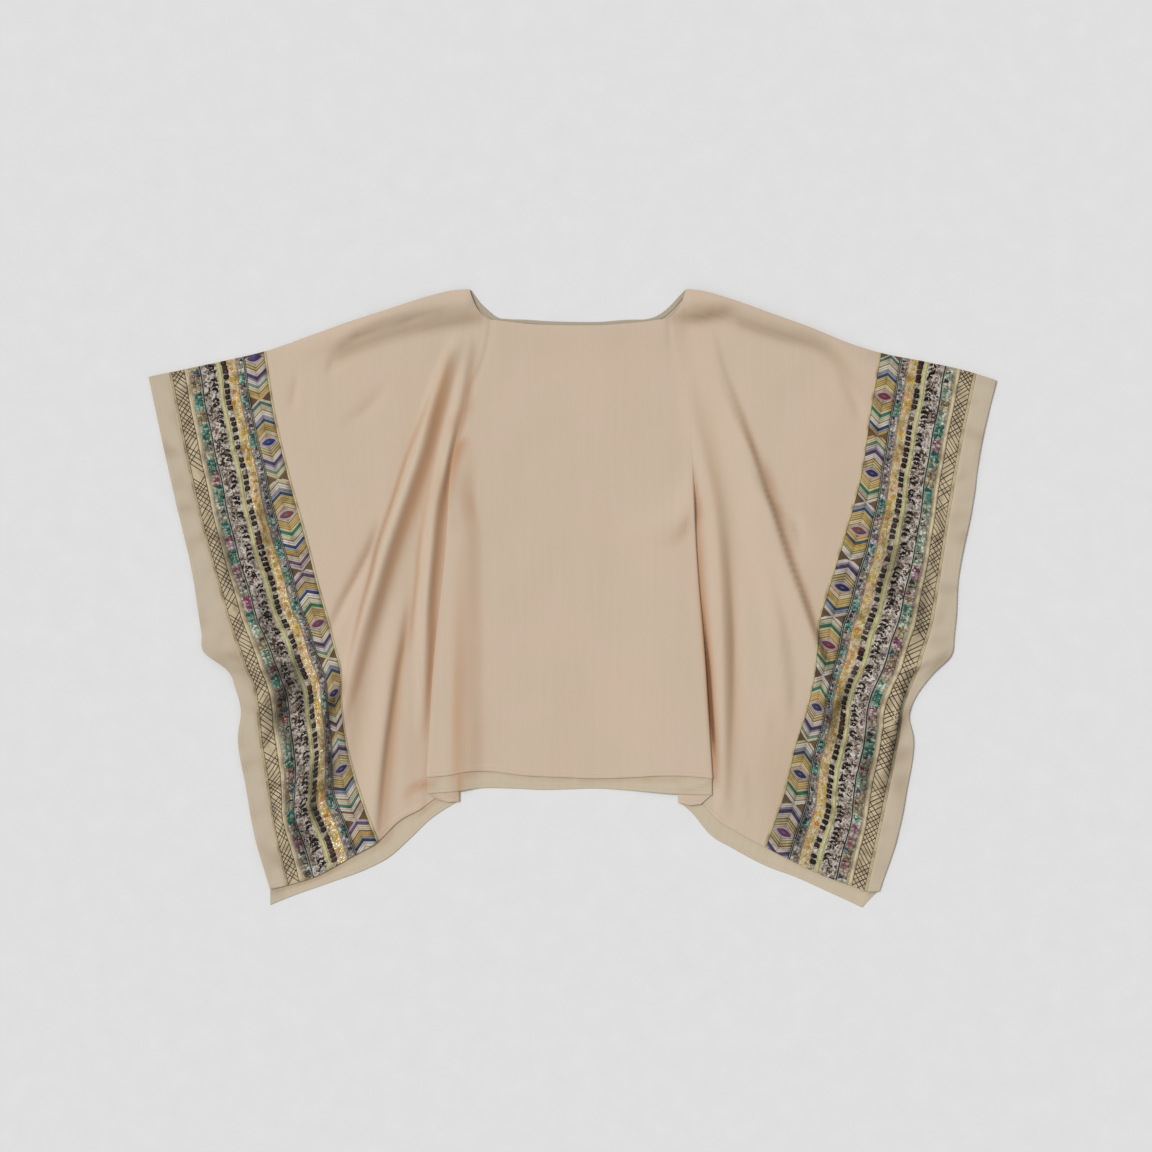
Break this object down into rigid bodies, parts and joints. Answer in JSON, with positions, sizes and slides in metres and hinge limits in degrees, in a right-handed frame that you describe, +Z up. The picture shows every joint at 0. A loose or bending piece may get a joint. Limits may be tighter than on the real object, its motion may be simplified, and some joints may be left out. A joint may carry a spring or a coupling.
{
  "type": "poncho",
  "caption": "Light woven poncho with a square neck, open wings and a patterned band down each wing, laid flat with its body pleated over the wings.",
  "frame": {"origin": "middle of the poncho's bounding box at its underside, which lies on the floor", "axes": "+X to the right as seen from above with the neck at the top, +Y towards the neck, +Z up from the floor through the cloth"},
  "size_m": [1.186, 0.8614, 0.0172],
  "materials": {
    "sand_cloth": "light sand-coloured crepe weave with a faint sheen",
    "patterned_band": "many-coloured woven and stitched band with fine metallic thread",
    "binding_cloth": "narrow matte bias strip, a little greyer than the cloth"
  },
  "bodies": {
    "root": {"front_panel": "sand_cloth", "back_panel": "sand_cloth", "band_left": "patterned_band", "band_right": "patterned_band", "neck_binding": "binding_cloth"}
  },
  "joints": []
}
